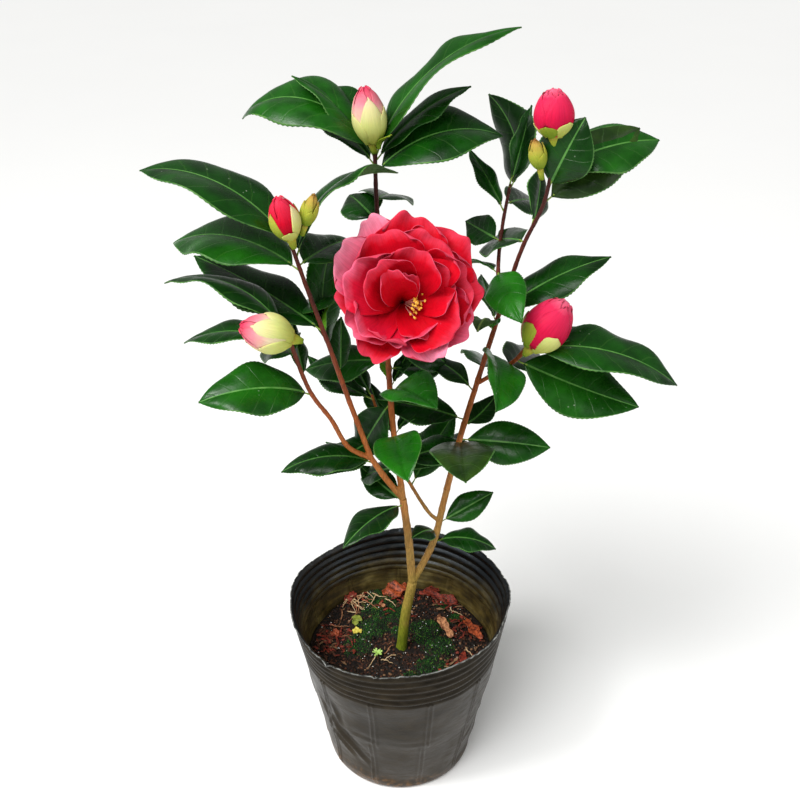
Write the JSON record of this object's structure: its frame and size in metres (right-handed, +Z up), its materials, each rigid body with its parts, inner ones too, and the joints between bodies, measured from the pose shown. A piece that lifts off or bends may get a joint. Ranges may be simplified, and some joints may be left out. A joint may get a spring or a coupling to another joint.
{
  "type": "potted camellia shrub",
  "caption": "Young upright flowering shrub with glossy leaves, an open bloom and buds, in a soft ribbed nursery pot.",
  "frame": {"origin": "centre of the flat underside of the pot", "axes": "+Z up along the pot, -Y towards the side the open bloom faces, +X to the right seen from that side"},
  "size_m": [0.3197, 0.1817, 0.5333],
  "materials": {
    "pot": "thin black polyethylene with a soft worn sheen",
    "mix": "dark moist bark and peat",
    "green_bark": "smooth olive young bark",
    "bark": "smooth orange-brown young bark",
    "leaf": "glossy dark green",
    "petal": "soft satin rose red",
    "red_bud": "satin rose pink",
    "green_bud": "satin pale green"
  },
  "bodies": {
    "root": {"nursery_pot": "pot", "potting_mix": "mix", "trunk": "green_bark", "left_stem": "green_bark", "right_bough": "bark", "leader": "bark", "left_fork": "bark", "left_bough": "bark", "low_left_bough": "bark", "right_inner_shoot": "bark", "right_outer_shoot": "bark", "right_side_shoot": "bark", "crossing_twig": "bark", "bloom_stalk": "bark", "leader_bud": "green_bud", "left_red_bud": "red_bud", "left_green_bud": "green_bud", "low_left_bud": "green_bud", "right_round_bud": "red_bud", "right_green_bud": "green_bud", "right_side_bud": "red_bud", "open_bloom": "petal", "leader_crown_foliage": "leaf", "leader_high_foliage": "leaf", "leader_middle_foliage": "leaf", "leader_low_foliage": "leaf", "leader_foot_foliage": "leaf", "left_tip_foliage": "leaf", "left_upper_foliage": "leaf", "left_middle_foliage": "leaf", "left_fork_leaves_foliage": "leaf", "low_left_tip_foliage": "leaf", "low_left_middle_foliage": "leaf", "left_stem_leaves_foliage": "leaf", "crossing_tip_foliage": "leaf", "crossing_middle_foliage": "leaf", "right_foot_foliage": "leaf", "right_middle_foliage": "leaf", "right_upper_foliage": "leaf", "right_fork_foliage": "leaf", "inner_shoot_tip_foliage": "leaf", "inner_shoot_foot_foliage": "leaf", "outer_shoot_tip_foliage": "leaf", "outer_shoot_middle_foliage": "leaf", "side_shoot_leaves_foliage": "leaf"}
  },
  "joints": []
}
